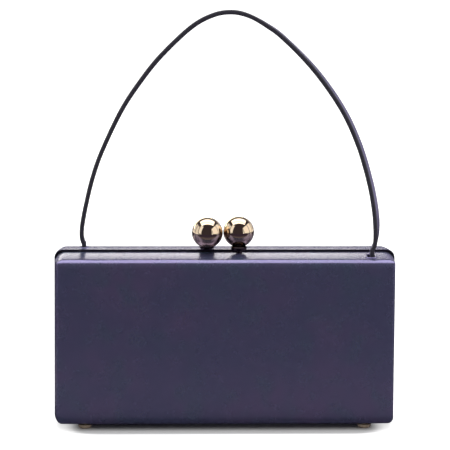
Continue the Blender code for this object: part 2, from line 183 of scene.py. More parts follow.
leatherLook = {
    "navy": (0.0440, 0.0520, 0.0960, 1),
    "plum": (0.0620, 0.0520, 0.1020, 1),
    "teal": (0.0340, 0.0620, 0.0880, 1),
    "pore": (0.004, 0.004, 0.010, 1),
    "poreShare": 0.30,              # of the pore colour between the pebbles
    "patch": 34 * mm,               # size of a plum patch
    "patchRange": (0.42, 0.66),     # noise at which it starts and is full
    "blotchShare": 0.4,             # size of a teal blotch, as a share of a patch
    "blotchRange": (0.50, 0.72),
    "blotchStrength": 0.7,
    "grain": 0.55 * mm,             # size of a pebble of the skin
    "grainRange": (0.02, 0.22),     # from the bottom of a crease to the top of a pebble
    "grainShare": 0.6,              # of the relief; pores make the rest
    "pores": 0.22 * mm,
    "cloudShare": 0.2,              # size of a cloud in the gloss, as a share of a patch
    "cloudGloss": 0.10,             # how far clouds and pores change the roughness
    "poreGloss": 0.06,
    "index": 2.15,                  # of the pearly finish, which makes its lavender shine
    "shine": (0.66, 0.58, 1.0, 1),
}
# Darker is the share of the pore colour that lies all over
trayLook = {"darker": 0, "grainDepth": 0.006 * mm, "roughness": 0.26}
strapLook = {"darker": 0.35, "grainDepth": 0.010 * mm, "roughness": 0.36}


def makeLeather(name, darker, grainDepth, roughness):
    look = leatherLook
    f = newFinish(name)
    patches = f.noise(look["patch"], 3, 0.55)
    blotches = f.noise(look["patch"] * look["blotchShare"], 2, 0.5)
    color = f.mixed(f.ramp(patches, *look["patchRange"]), look["navy"], look["plum"])
    blotched = f.ramp(blotches, *look["blotchRange"]) * look["blotchStrength"]
    color = f.mixed(blotched, color, look["teal"])
    pores = f.noise(look["pores"], 2, 0.6)
    pebble = f.ramp(f.creases(look["grain"]), *look["grainRange"])
    cloudy = f.noise(look["patch"] * look["cloudShare"], 3, 0.6)
    gloss = cloudy * look["cloudGloss"] + pores * look["poreGloss"]
    middleGloss = (look["cloudGloss"] + look["poreGloss"]) / 2
    relief = pebble * look["grainShare"] + pores * (1 - look["grainShare"])
    return f.surface({
        "Base Color": f.mixed((1 - pebble) * look["poreShare"] + darker, color, look["pore"]),
        "Roughness": gloss + (roughness - middleGloss),
        "IOR": look["index"],
        "Specular IOR Level": 1,
        "Specular Tint": look["shine"],
        "Normal": f.bump(relief, grainDepth),
    })


paintLook = {
    "waves": 1.6 * mm,
    "depth": 0.03 * mm,
    "roughness": 0.34,
    "waveGloss": 0.15,
    # Dark and pale tone, on the edges of the trays and on those of the strap; on the trays' lips at the
    # seam the dark tone is partly edge paint, partly painted shade
    "edge": ((0.007, 0.005, 0.014, 1), (0.021, 0.016, 0.044, 1)),
    "strap": ((0.012, 0.011, 0.018, 1), (0.039, 0.036, 0.054, 1)),
}


def makePaint(name, tones):
    look = paintLook
    f = newFinish(name)
    waves = f.noise(look["waves"], 3, 0.6)
    return f.surface({
        "Base Color": f.mixed(waves, *look[tones]),
        "Roughness": waves * look["waveGloss"] + look["roughness"],
        "Normal": f.bump(waves, look["depth"]),
    })


# Near-black board, which shows in the gap at the seam: its tone is partly the board's own, partly
# painted shade of the gap
boardLook = {
    "dark": (0.006, 0.005, 0.010, 1),
    "pale": (0.014, 0.012, 0.021, 1),
    "fibre": 0.5 * mm,
    "lie": (1, 1, 3),               # fibres lie flat
    "depth": 0.05 * mm,
    "roughness": 0.62,
    "fibreGloss": 0.2,
}


def makeBoard():
    look = boardLook
    f = newFinish("stiffBoard")
    fibres = f.noise(look["fibre"], 4, 0.7, stretch=look["lie"])
    return f.surface({
        "Base Color": f.mixed(fibres, look["dark"], look["pale"]),
        "Roughness": fibres * look["fibreGloss"] + look["roughness"],
        "Specular IOR Level": 0.25,
        "Normal": f.bump(fibres, look["depth"]),
    })


goldLook = {
    "pale": (0.74, 0.60, 0.44, 1),
    "deep": (0.66, 0.50, 0.34, 1),
    # Near-black tones of the posts and cups: partly a dark base, partly painted shade under the balls
    "cupShade": (0.060, 0.045, 0.045, 1),
    "cupShadeDeep": (0.030, 0.022, 0.030, 1),
    "hair": 0.35 * mm,              # fine scratches, drawn out upwards
    "drawnOut": (1, 1, 0.12),
    "hairRange": (0.60, 0.75),
    "hairGloss": 0.03,
    "smear": 5 * mm,
    "smearShare": 0.5,              # of the deep colour in a smear
    "smearGloss": 0.05,
    "depth": 0.004 * mm,
}


def makeGold(name, pale, deep, roughness, metallic=1):
    look = goldLook
    f = newFinish(name)
    hairs = f.noise(look["hair"], 2, 0.5, stretch=look["drawnOut"])
    smears = f.noise(look["smear"], 3, 0.6)
    color = f.mixed(smears * look["smearShare"], look[pale], look[deep])
    scratched = f.ramp(hairs, *look["hairRange"]) * look["hairGloss"]
    return f.surface({
        "Base Color": color,
        "Metallic": metallic,
        "Roughness": scratched + smears * look["smearGloss"] + roughness,
        "Normal": f.bump(smears, look["depth"]),
    })


brassLook = {
    "bright": (0.72, 0.54, 0.33, 1),
    "tarnished": (0.58, 0.42, 0.25, 1),
    "brush": 0.25 * mm,             # brushed along the bag
    "drawnOut": (0.1, 1, 1),
    "brushGloss": 0.16,
    "tarnish": 7 * mm,
    "tarnishGloss": 0.10,
    "roughness": 0.16,
    "depth": 0.006 * mm,
}


def makeBrass():
    look = brassLook
    f = newFinish("plainBrass")
    brush = f.noise(look["brush"], 3, 0.6, stretch=look["drawnOut"])
    tarnish = f.noise(look["tarnish"], 3, 0.6)
    gloss = brush * look["brushGloss"] + tarnish * look["tarnishGloss"]
    return f.surface({
        "Base Color": f.mixed(tarnish, look["bright"], look["tarnished"]),
        "Metallic": 1,
        "Roughness": gloss + look["roughness"],
        "Normal": f.bump(brush, look["depth"]),
    })


suedeLook = {
    "dark": (0.032, 0.018, 0.046, 1),
    "pale": (0.072, 0.044, 0.098, 1),
    "nap": 0.30 * mm,
    "napShare": 0.3,                # of the pale colour in the nap
    "napGloss": 0.1,
    "stroke": 11 * mm,              # where a hand has stroked it, drawn out upwards
    "drawnOut": (1, 1, 0.5),
    "strokeRange": (0.40, 0.62),
    "strokeShare": 0.6,
    "roughness": 0.85,
    "sheen": (0.55, 0.45, 0.70, 1),
    "depth": 0.06 * mm,
}


def makeSuede():
    look = suedeLook
    f = newFinish("plumSuede")
    nap = f.noise(look["nap"], 3, 0.7)
    stroked = f.noise(look["stroke"], 2, 0.5, stretch=look["drawnOut"])
    share = f.ramp(stroked, *look["strokeRange"]) * look["strokeShare"] + nap * look["napShare"]
    return f.surface({
        "Base Color": f.mixed(share, look["dark"], look["pale"]),
        "Roughness": nap * look["napGloss"] + look["roughness"],
        "Specular IOR Level": 0.2,
        "Sheen Weight": 0.5,
        "Sheen Roughness": 0.4,
        "Sheen Tint": look["sheen"],
        "Normal": f.bump(nap, look["depth"]),
    })


navyLeather = makeLeather("navyLeather", **trayLook)
strapLeather = makeLeather("strapLeather", **strapLook)
# Edge paint of the trays' lips; its dark tone is partly painted shade in the seam
edgePaintAndShade = makePaint("edgePaintAndShade", "edge")
strapPaint = makePaint("strapPaint", "strap")
stiffBoard = makeBoard()
polishedGold = makeGold("polishedGold", "pale", "deep", 0.04)
# Posts and cups under the balls: near-black gold, partly painted shade under them
shadeDarkGold = makeGold("shadeDarkGold", "cupShade", "cupShadeDeep", 0.16)
wornGold = makeGold("wornGold", "pale", "deep", 0.24, 0.6)
plainBrass = makeBrass()
plumSuede = makeSuede()
print("finishes made")


# Shapes

def addPiece(name, bm, finishes, body=None, sharp=40):
    # Edges that turn by more than sharp, in degrees, stay crisp
    mesh = bpy.data.meshes.new(name)
    bm.to_mesh(mesh)
    bm.free()
    for finish in finishes:
        mesh.materials.append(finish)
    mesh.shade_smooth()
    mesh.set_sharp_from_angle(angle=math.radians(sharp))
    piece = bpy.data.objects.new(name, mesh)
    scene.collection.objects.link(piece)
    if body:
        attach(piece, body)
    return piece


def addTool(bm):
    mesh = bpy.data.meshes.new("tool")
    bm.to_mesh(mesh)
    bm.free()
    tool = bpy.data.objects.new("tool", mesh)
    scene.collection.objects.link(tool)
    return tool


def carve(piece, tools, sharp=40):
    for tool in tools:
        cut = piece.modifiers.new("cut", "BOOLEAN")
        cut.object = tool
        cut.operation = "DIFFERENCE"
        cut.solver = "EXACT"
    graph = bpy.context.evaluated_depsgraph_get()
    carved = bpy.data.meshes.new_from_object(piece.evaluated_get(graph))
    carved.name = piece.name
    piece.modifiers.clear()
    piece.data = carved
    carved.set_sharp_from_angle(angle=math.radians(sharp))
    for tool in tools:
        bpy.data.objects.remove(tool)


def lay(bm, rings, closed=False, painted=()):
    # Quads from ring to ring; those that start at a painted ring get the second finish
    rows = [[bm.verts.new(point) for point in ring] for ring in rings]
    pairs = list(zip(rows, rows[1:]))
    if closed:
        pairs.append((rows[-1], rows[0]))
    else:
        bm.faces.new(rows[0])
        bm.faces.new(rows[-1])
    for number, (row, following) in enumerate(pairs):
        for index, vert in enumerate(row):
            after = (index + 1) % len(row)
            face = bm.faces.new((vert, row[after], following[after], following[index]))
            face.material_index = 1 if number in painted else 0
    bmesh.ops.recalc_face_normals(bm, faces=bm.faces)
    return rows


def spun(profile, place, steps=64):
    # The profile is (radius, height) from the top of the axis down to its foot
    bm = bmesh.new()
    top = bm.verts.new(place + Vector((0, 0, profile[0][1])))
    foot = bm.verts.new(place + Vector((0, 0, profile[-1][1])))
    rows = []
    for radius, height in profile[1:-1]:
        ring = []
        for step in range(steps):
            angle = math.tau * step / steps
            outward = Vector((radius * math.cos(angle), radius * math.sin(angle), height))
            ring.append(bm.verts.new(place + outward))
        rows.append(ring)
    for index in range(steps):
        after = (index + 1) % steps
        bm.faces.new((top, rows[0][index], rows[0][after]))
        bm.faces.new((foot, rows[-1][after], rows[-1][index]))
        for row, following in zip(rows, rows[1:]):
            bm.faces.new((row[index], following[index], following[after], row[after]))
    bmesh.ops.recalc_face_normals(bm, faces=bm.faces)
    return bm


def block(low, high):
    bm = bmesh.new()
    bmesh.ops.create_cube(bm, size=1)
    bmesh.ops.scale(bm, vec=high - low, verts=bm.verts)
    bmesh.ops.translate(bm, vec=(low + high) / 2, verts=bm.verts)
    return bm


def pin(radius, start, end, steps=48):
    run = end - start
    turn = run.to_track_quat("Z", "Y").to_matrix().to_4x4()
    bm = bmesh.new()
    bmesh.ops.create_cone(bm, cap_ends=True, segments=steps, radius1=radius, radius2=radius,
                          depth=run.length, matrix=Matrix.Translation((start + end) / 2) @ turn)
    return bm


def nodeBox(name):
    low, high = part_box(name)
    return Vector(low), Vector(high)


def middleOf(name):
    low, high = nodeBox(name)
    return (low + high) / 2


# Trays: the leather of each half, rolled over its edges

trayForm = {
    "draft": 1.6 * mm,              # how far a wall draws in from seam to face
    "topCorner": {"back": (5.0 * mm, 6.5 * mm), "front": (7.2 * mm, 2.8 * mm)},  # at seam and face
    "cornerFold": 2,                # how fast a top corner sharpens along the roll
    "bottomCorner": 3.4 * mm,
    "sharpest": 0.3 * mm,
    "roll": 4.5 * mm,               # from the top and bottom walls into the face
    "sideRoll": 1.5 * mm,           # and from the side walls
    "crown": 0.22 * mm,             # the face swells this much inside its edge
    "crownReach": 5 * mm,
    "wallCrown": 0.06 * mm,         # and a wall between its edges
    "sink": 0.10 * mm,              # roll below the solid's, so that the crown stays near it
    "leather": 0.9 * mm,
    "wave": 0.05 * mm,              # unevenness of the stretched leather
    "waveSize": 26 * mm,
    "cornerSteps": 12,
    "longSteps": 44,
    "shortSteps": 22,
    "lipSteps": 8,
    "wallSteps": 10,
    "rollSteps": 10,
    "faceSteps": 12,
    "innerSteps": 3,                # of the leather's hidden inner side
    "crowding": 2.2,                # the rings of the face crowd towards its edge
    "last": 1 * mm,                 # about half the height of the innermost ring
    "seed": 31,                     # of the unevenness
}
halves = {"back": 1, "front": -1}                              # side of the seam each is on
coverLow, coverHigh = nodeBox("back_cover")
mouthDepth = coverLow.y                                        # of the leather from the seam
faceDepth = coverHigh.y
halfWidth = coverHigh.x
trayLow = coverLow.z
trayTop = {half: nodeBox(half + "_cover")[1].z for half in halves}


def wallCrown(depth):
    # A wall swells between its edges; this is how far it is drawn in from its straight line
    t = trayForm
    start = mouthDepth + t["leather"] / 2
    share = (depth - start) / (faceDepth - t["sink"] - t["roll"] - start)
    return t["wallCrown"] * (2 * (2 * share - 1) ** 2 - 1)


def outline(half, depth, drawnIn, sideIn, rounding, fold=0):
    # Rounded rectangle, its straight sides cut into equal steps; fold sharpens the top corners
    t = trayForm
    slope = t["draft"] * (depth - mouthDepth) / faceDepth
    wide = halfWidth - slope - sideIn
    low = trayLow + slope + drawnIn
    high = trayTop[half] - slope - drawnIn
    mouthCorner, faceCorner = t["topCorner"][half]
    topCorner = mouthCorner + (faceCorner - mouthCorner) * depth / faceDepth
    topR = max(topCorner - rounding - fold, t["sharpest"])
    lowR = max(t["bottomCorner"] - rounding, t["sharpest"])
    corners = ((1, 1, topR, 0, "longSteps"), (-1, 1, topR, 90, "shortSteps"),
               (-1, -1, lowR, 180, "longSteps"), (1, -1, lowR, 270, "shortSteps"))
    arcs = []
    for xSign, zSign, radius, start, following in corners:
        centre = Vector((xSign * (wide - radius), 0, high - radius if zSign > 0 else low + radius))
        arc = []
        for step in range(t["cornerSteps"] + 1):
            angle = math.radians(start + 90 * step / t["cornerSteps"])
            arc.append(centre + Vector((math.cos(angle), 0, math.sin(angle))) * radius)
        arcs.append((arc, t[following]))
    points = []
    for index, (arc, steps) in enumerate(arcs):
        points += arc
        end = arcs[(index + 1) % len(arcs)][0][0]
        points += [arc[-1].lerp(end, step / steps) for step in range(1, steps)]
    return [Vector((point.x, halves[half] * depth, point.z)) for point in points]


def topOf(half, depth):
    return trayTop[half] - trayForm["draft"] * (depth - mouthDepth) / faceDepth - wallCrown(depth)


def faceProfile(inset, steps):
    # (depth, drawn in, drawn in at the sides) from the wall over the roll and across the face
    t = trayForm
    roll = max(t["roll"] - inset, t["sharpest"])
    sideRoll = max(t["sideRoll"] - inset, t["sharpest"])
    face = faceDepth - inset - t["sink"]
    slope = t["crown"] / t["crownReach"]
    last = math.pi / 2 - math.atan(slope)
    profile = []
    for step in range(t["rollSteps"] + 1):
        angle = last * step / t["rollSteps"]
        depth = face - roll + roll * math.sin(angle)
        turned = max(1 - (face - depth) / sideRoll, 0)
        sideIn = sideRoll * (1 - math.sqrt(1 - turned ** 2))
        profile.append((depth, roll * (1 - math.cos(angle)), sideIn))
    endDepth, endIn, endSide = profile[-1]
    reach = (trayTop["front"] - trayLow) / 2 - t["draft"] - endIn - inset - t["last"]
    for step in range(1, steps + 1):
        along = reach * (step / steps) ** t["crowding"]
        depth = endDepth + t["crown"] * (1 - math.exp(-along / t["crownReach"]))
        profile.append((depth, endIn + along, endSide + along))
    return profile


def faceRings(half, inset, steps, edge=0):
    start = inset + edge
    rings = []
    for depth, drawnIn, sideIn in faceProfile(inset, steps):
        fold = drawnIn * trayForm["cornerFold"]
        rings.append(outline(half, depth, start + drawnIn, start + sideIn, inset + sideIn, fold))
    return rings


def makeCover(half):
    t = trayForm
    side = halves[half]
    lip = t["leather"] / 2
    edge = t["wallCrown"]
    rings = []
    # Inner skin from the face back to the mouth, then the turned lip, then the outer skin
    rings += reversed(faceRings(half, t["leather"], t["innerSteps"]))
    firstPainted = len(rings)
    for step in range(t["lipSteps"] + 1):
        angle = math.pi * step / t["lipSteps"]
        depth = mouthDepth + lip - lip * math.sin(angle)
        drawnIn = lip + edge / 2 + (lip - edge / 2) * math.cos(angle)
        rings.append(outline(half, depth, drawnIn, drawnIn, drawnIn))
    # The lip's rings, all but its outer end, get the dark paint: partly edge paint, partly painted
    # shade of the seam
    painted = range(firstPainted, len(rings) - 2)
    wallStart = mouthDepth + lip
    wallEnd = faceDepth - t["sink"] - t["roll"]
    for step in range(1, t["wallSteps"]):
        depth = wallStart + (wallEnd - wallStart) * step / t["wallSteps"]
        rings.append(outline(half, depth, wallCrown(depth), wallCrown(depth), 0))
    rings += faceRings(half, 0, t["faceSteps"], edge)
    bm = bmesh.new()
    rows = lay(bm, rings, painted=painted)
    centre = Vector((0, side * faceDepth / 2, (trayLow + trayTop[half]) / 2))
    seed = Vector((0, t["seed"] * side, 0))
    for row in rows[-(t["wallSteps"] + t["rollSteps"] + t["faceSteps"]):]:
        for vert in row:
            uneven = noise.noise(vert.co / t["waveSize"] + seed) * t["wave"]
            vert.co += (vert.co - centre).normalized() * uneven
    return addPiece(half + "Leather", bm, [navyLeather, edgePaintAndShade])


cutForm = {
    "slotLength": 7.0 * mm,
    "strapSide": 0.5 * mm,          # slot beyond the strap, outwards
    "openSide": 1.7 * mm,           # and towards the clasp, where the leather gapes
    "strap": 2.3 * mm,
    "post": 1.6 * mm,               # radius of the hole for the clasp post
    "foot": 1.4 * mm,               # and for a foot
    "hinge": 1.8 * mm,              # notch from the seam
    "play": 0.3 * mm,
    "inside": 6 * mm,               # reach of a cut into the bag and out of it
    "outside": 3 * mm,
}


def coverTools(half):
    # Where the strap, the clasp post, the feet and the hinges pass through the leather
    c = cutForm
    tools = []
    top = (trayTop[half] - c["inside"], trayTop[half] + c["outside"])
    under = (trayLow - c["outside"], trayLow + c["inside"])
    end = middleOf(half + "_strap_end")
    inward = -1 if end.x > 0 else 1
    near = end.x - inward * (c["strap"] / 2 + c["strapSide"])
    far = end.x + inward * (c["strap"] / 2 + c["openSide"])
    tools.append(addTool(block(Vector((min(near, far), end.y - c["slotLength"] / 2, top[0])),
                               Vector((max(near, far), end.y + c["slotLength"] / 2, top[1])))))
    post = middleOf(half + "_post_nut")
    tools.append(addTool(pin(c["post"], *[Vector((post.x, post.y, z)) for z in top])))
    for where in ("left", "right"):
        foot = middleOf(half + "_foot_" + where)
        tools.append(addTool(pin(c["foot"], *[Vector((foot.x, foot.y, z)) for z in under])))
        leafLow, leafHigh = nodeBox("back_hinge_leaf_" + where)
        tools.append(addTool(block(Vector((leafLow.x - c["play"], -c["hinge"], under[0])),
                                   Vector((leafHigh.x + c["play"], c["hinge"], under[1])))))
    return tools


for half in halves:
    cover = makeCover(half)
    carve(cover, coverTools(half))
    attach(cover, half)
    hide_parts(half + "_cover")
print("leather laid")


# Lining: a suede tray inside each shell, with a piped edge behind the metal rim

liningForm = {
    "outer": 2.7 * mm,              # inside the leather's outer skin
    "thickness": 0.6 * mm,
    "mouth": 6.5 * mm,              # from the seam
    "piping": 0.55 * mm,            # half its thickness
    "behind": 1.4,                  # where the suede goes on behind it, as a share of it
    "wave": 0.10 * mm,              # it puffs out by this much
    "waveSize": 18 * mm,
    "fullness": 0.6,                # share of the puff that is there all over
    "strapCut": Vector((1.65, 3.5, 9)) * mm,
    "outerSteps": 6,
    "innerSteps": 10,
}


def makeLining(half):
    form = liningForm
    inset = form["outer"]
    inner = inset + form["thickness"]
    rings = []
    rings += reversed(faceRings(half, inset, form["outerSteps"]))
    rings.append(outline(half, form["mouth"] + form["piping"], inset, inset, inset))
    for step in range(trayForm["lipSteps"] + 1):
        angle = math.pi * step / trayForm["lipSteps"]
        depth = form["mouth"] + form["piping"] * (1 - math.sin(angle))
        drawnIn = inset + form["piping"] * (1 - math.cos(angle))
        rings.append(outline(half, depth, drawnIn, drawnIn, drawnIn))
    rings.append(outline(half, form["mouth"] + form["piping"] * form["behind"], inner, inner, inner))
    first = len(rings)
    rings += faceRings(half, inner, form["innerSteps"])
    bm = bmesh.new()
    rows = lay(bm, rings)
    for row in rows[first:]:
        for vert in row:
            puff = noise.noise(vert.co / form["waveSize"]) + form["fullness"]
            vert.co.y -= halves[half] * form["wave"] * max(puff, 0)
    lining = addPiece(half + "Suede", bm, [plumSuede])
    end = middleOf(half + "_strap_end")
    end.z = trayTop[half]
    tools = [addTool(block(end - form["strapCut"], end + form["strapCut"]))]
    for where in ("left", "right"):
        foot = middleOf(half + "_foot_" + where)
        tools.append(addTool(pin(cutForm["foot"], Vector((foot.x, foot.y, trayLow)),
                                 Vector((foot.x, foot.y, trayLow + cutForm["inside"])))))
    carve(lining, tools)
    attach(lining, half)
    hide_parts(half + "_lining")


for half in halves:
    makeLining(half)
print("lining laid")


# Strap: one flat band from the back half on the left to the front half on the right

strapForm = {
    "width": 6.0 * mm,
    "thickness": 2.6 * mm,
    "edge": 0.85 * mm,              # rounding of its painted edges
    "rise": 139.1 * mm,             # of its middle above the roots
    "stub": 1 * mm,                 # it leaves the leather upright for this far
    "keeperHole": 1.2 * mm,
    "keeperReach": 4 * mm,          # half the length of the hole's cutter
    "blendInset": 4 * mm,           # it starts to bend this far from its roots when the bag opens
    "ripple": 0.02,                 # unevenness, as a share of its section
    "rippleSize": 9 * mm,
    "flatSteps": 6,                 # across a face
    "quarterSteps": 4,              # round a quarter of an edge
    "pathSteps": 14,                # between two points of the route
    "route": (                      # across as a share of half the span, up as a share of the rise
        (-1.008, 0.016), (-1.016, 0.042), (-1.011, 0.090), (-0.980, 0.189), (-0.936, 0.296),
        (-0.872, 0.406), (-0.738, 0.579), (-0.596, 0.712), (-0.456, 0.818), (-0.257, 0.934),
        (-0.107, 0.985), (0.019, 0.998), (0.130, 0.985), (0.250, 0.948), (0.380, 0.891),
        (0.596, 0.759), (0.781, 0.603), (0.900, 0.452), (0.980, 0.294), (1.017, 0.180),
        (1.028, 0.100), (1.022, 0.042), (1.010, 0.018),
    ),
    "twist": (                      # degrees at shares of its run
        (0.00, 0), (0.15, -4), (0.35, -9), (0.50, -9), (0.60, 5), (0.70, 14), (0.85, 20), (0.95, 24),
        (0.985, 12), (1.00, 4),
    ),
    "untwisting": 40,               # no twist at its ends; it sets in within a fortieth of the run
}


def strapPath():
    form = strapForm
    left = middleOf("back_strap_end")
    right = middleOf("front_strap_end")
    rootZ = nodeBox("handle_strap")[0].z
    endZ = nodeBox("back_strap_end")[0].z
    middleX = (left.x + right.x) / 2
    halfSpan = (right.x - left.x) / 2
    stub = form["stub"]
    controls = [Vector((left.x, 0, z)) for z in (endZ, (endZ + rootZ) / 2, rootZ, rootZ + stub)]
    for across, up in form["route"]:
        controls.append(Vector((middleX + halfSpan * across, 0, rootZ + form["rise"] * up)))
    controls += [Vector((right.x, 0, z)) for z in (rootZ + stub, rootZ, (endZ + rootZ) / 2, endZ)]
    path = []
    for index in range(len(controls) - 1):
        before = controls[max(index - 1, 0)]
        start = controls[index]
        end = controls[index + 1]
        after = controls[min(index + 2, len(controls) - 1)]
        for step in range(form["pathSteps"]):
            t = step / form["pathSteps"]
            point = start * 2 + (end - before) * t
            point += (before * 2 - start * 5 + end * 4 - after) * t ** 2
            point += (start * 3 - before - end * 3 + after) * t ** 3
            path.append(point / 2)
    path.append(controls[-1])
    # It crosses from the back half to the front half between its straight ends
    lengths = [0]
    for start, end in zip(path, path[1:]):
        lengths.append(lengths[-1] + (end - start).length)
    straight = rootZ + stub - endZ
    shares = [min(max((length - straight) / (lengths[-1] - 2 * straight), 0), 1) for length in lengths]
    for point, share in zip(path, shares):
        point.y = left.y + (right.y - left.y) * (1 - math.cos(math.pi * share)) / 2
    return path, shares


def twistAt(share):
    stops = strapForm["twist"]
    for (low, lowTwist), (high, highTwist) in zip(stops, stops[1:]):
        if share <= high:
            t = (share - low) / (high - low)
            return lowTwist + (highTwist - lowTwist) * t * t * (3 - 2 * t)
    return stops[-1][1]


def strapSection():
    # (across, outward, painted) around the band: flat faces, rounded edges
    form = strapForm
    half = form["width"] / 2
    thick = form["thickness"] / 2
    edge = form["edge"]
    quarter = form["quarterSteps"]
    points = []
    for sign in (1, -1):
        for step in range(form["flatSteps"]):
            across = (half - edge) * (1 - 2 * step / form["flatSteps"])
            points.append((-sign * across, sign * thick, False))
        for step in range(2 * quarter + 1):
            angle = math.pi / 2 * (1 - step / quarter)
            upper = (step < quarter) - (step > quarter)
            flat = max(thick - edge, 0) * upper
            points.append((sign * (half - edge + edge * math.cos(angle)),
                           sign * (flat + edge * math.sin(angle)), True))
    return points


def makeStrap():
    form = strapForm
    path, shares = strapPath()
    section = strapSection()
    bm = bmesh.new()
    rings = []
    for index, (point, share) in enumerate(zip(path, shares)):
        before = path[max(index - 1, 0)]
        after = path[min(index + 1, len(path) - 1)]
        run = (after - before).normalized()
        across = Vector((0, 1, 0)) - run * run.y
        across.normalize()
        near = form["untwisting"] * min(share, 1 - share)
        bend = math.radians(twistAt(share)) * min(1, near)
        across.rotate(Matrix.Rotation(bend, 3, run))
        outward = run.cross(across).normalized()
        ripple = 1 + form["ripple"] * noise.noise(point / form["rippleSize"])
        rings.append([point + across * u * ripple + outward * v * ripple for u, v, painted in section])
    rows = lay(bm, rings)
    places = {vert: index for row in rows for index, vert in enumerate(row)}
    for face in bm.faces:
        if len(face.verts) == 4:
            painted = all(section[places[vert]][2] for vert in face.verts)
            face.material_index = 1 if painted else 0
        else:
            face.material_index = 1
    strap = addPiece("strapBand", bm, [strapLeather, strapPaint], sharp=60)
    tools = []
    for half in halves:
        keeper = middleOf(half + "_strap_keeper")
        reach = Vector((form["keeperReach"], 0, 0))
        tools.append(addTool(pin(form["keeperHole"], keeper - reach, keeper + reach)))
    carve(strap, tools, sharp=60)
    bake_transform(strap)
    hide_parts("handle_strap", "back_strap_end", "front_strap_end")


makeStrap()


lipForm = {
    "aside": 0.6 * mm,              # of its middle from the strap's, towards the clasp
    "wide": 2.95 * mm,
    "deep": 4.15 * mm,
    "radius": 0.5 * mm,
    "spread": 1.8,                  # how many times wider than high it is
    "sunk": 0.08 * mm,
    "steps": 48,
    "turns": 10,
    "squareness": 4,                # 2 would be an oval
}


def makeSlotLip(half):
    # The leather is turned up a little round the slot
    form = lipForm
    end = middleOf(half + "_strap_end")
    inward = -1 if end.x > 0 else 1
    rings = []
    for step in range(form["steps"]):
        angle = math.tau * step / form["steps"]
        outward = Vector((math.cos(angle), math.sin(angle), 0))
        power = form["squareness"]
        shape = (abs(outward.x) ** power + abs(outward.y) ** power) ** (-1 / power)
        place = Vector((end.x + inward * form["aside"] + outward.x * shape * form["wide"],
                        end.y + outward.y * shape * form["deep"], 0))
        place.z = topOf(half, abs(place.y)) - form["sunk"]
        ring = []
        for turn in range(form["turns"]):
            around = math.tau * turn / form["turns"]
            rise = Vector((0, 0, form["radius"] * math.sin(around)))
            ring.append(place + outward * form["radius"] * form["spread"] * math.cos(around) + rise)
        rings.append(ring)
    bm = bmesh.new()
    lay(bm, rings, closed=True)
    addPiece(half + "SlotLip", bm, [navyLeather], half)


for half in halves:
    makeSlotLip(half)
print("strap laid")


# Kiss clasp: two smooth balls, each in a dark cup on its post; the cup's near-black gold is partly a
# dark base, partly painted shade under the ball

claspForm = {
    "ballSteps": 96,
    "bore": 1.6 * mm,               # radius of the hole in the ball
    "post": 1.3 * mm,
    "bevel": 0.2 * mm,
    "disc": 4.4 * mm,
    "discThickness": 0.5 * mm,
    "discGap": 0.3 * mm,            # under the ball
    "cup": 1.45 * mm,               # rise of the disc's edge to the ball that sits in it
    "cupFlare": 0.35 * mm,
    "neck": 1.8 * mm,
    "flare": 0.8 * mm,              # of the neck into the disc
    "sunk": 0.1 * mm,               # neck in the leather
    "roundSteps": 8,
}


def makeClasp(half):
    form = claspForm
    ballLow, ballHigh = nodeBox(half + "_ball")
    nut = middleOf(half + "_post_nut")
    postLow, postHigh = nodeBox(half + "_ball_post")
    bm = bmesh.new()
    bmesh.ops.create_uvsphere(bm, u_segments=form["ballSteps"], v_segments=form["ballSteps"] // 2,
                              radius=(ballHigh.z - ballLow.z) / 2)
    bmesh.ops.translate(bm, vec=(ballLow + ballHigh) / 2, verts=bm.verts)
    ball = addPiece(half + "Ball", bm, [polishedGold])
    tool = addTool(pin(form["bore"], Vector((nut.x, nut.y, ballLow.z - cutForm["outside"])),
                       Vector((nut.x, nut.y, postHigh.z + cutForm["play"]))))
    carve(ball, [tool], sharp=50)
    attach(ball, half)
    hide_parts(half + "_ball")

    # Profile of the post: through the ball, the disc under it, the neck and the stud in the half
    post = form["post"]
    bevel = form["bevel"]
    steps = form["roundSteps"]
    discTop = ballLow.z - form["discGap"]
    discLow = discTop - form["discThickness"]
    edge = form["discThickness"] / 2
    neckLow = topOf(half, abs(nut.y)) - form["sunk"]
    flare = min(form["flare"], discLow - neckLow)
    profile = [(0, postHigh.z), (post - bevel, postHigh.z), (post, postHigh.z - bevel), (post, discTop)]
    cupEdge = form["disc"] + form["cupFlare"]
    profile += [(form["disc"] - form["discThickness"], discTop),
                (cupEdge - form["discThickness"], discTop + form["cup"] - bevel),
                (cupEdge - bevel, discTop + form["cup"]), (cupEdge, discTop + form["cup"] - bevel)]
    for step in range(steps // 2, steps + 1):
        angle = math.pi / 2 - math.pi * step / steps
        profile.append((form["disc"] - edge + edge * math.cos(angle),
                        discLow + edge + edge * math.sin(angle)))
    for step in range(steps + 1):
        angle = math.pi / 2 * step / steps
        profile.append((form["neck"] + flare * (1 - math.sin(angle)),
                        discLow - flare * (1 - math.cos(angle))))
    profile += [(form["neck"], neckLow), (post, neckLow), (post, postLow.z + bevel),
                (post - bevel, postLow.z), (0, postLow.z)]
    bm = spun(profile, Vector((nut.x, nut.y, 0)))
    # Its near-black gold is partly painted shade under the ball
    stud = addPiece(half + "Post", bm, [shadeDarkGold], half)
    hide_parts(half + "_ball_post")


for half in halves:
    makeClasp(half)
print("clasp made")


# Feet: turned studs

footForm = {
    "radius": 4.0 * mm,
    "flat": 2.1 * mm,
    "seat": 2.36 * mm,              # its upper face above the floor
    "rim": 0.5 * mm,                # height of its upright edge
    "shank": 1.1 * mm,
    "bevel": 0.12 * mm,
    "domeSteps": 10,
    "steps": 48,
}


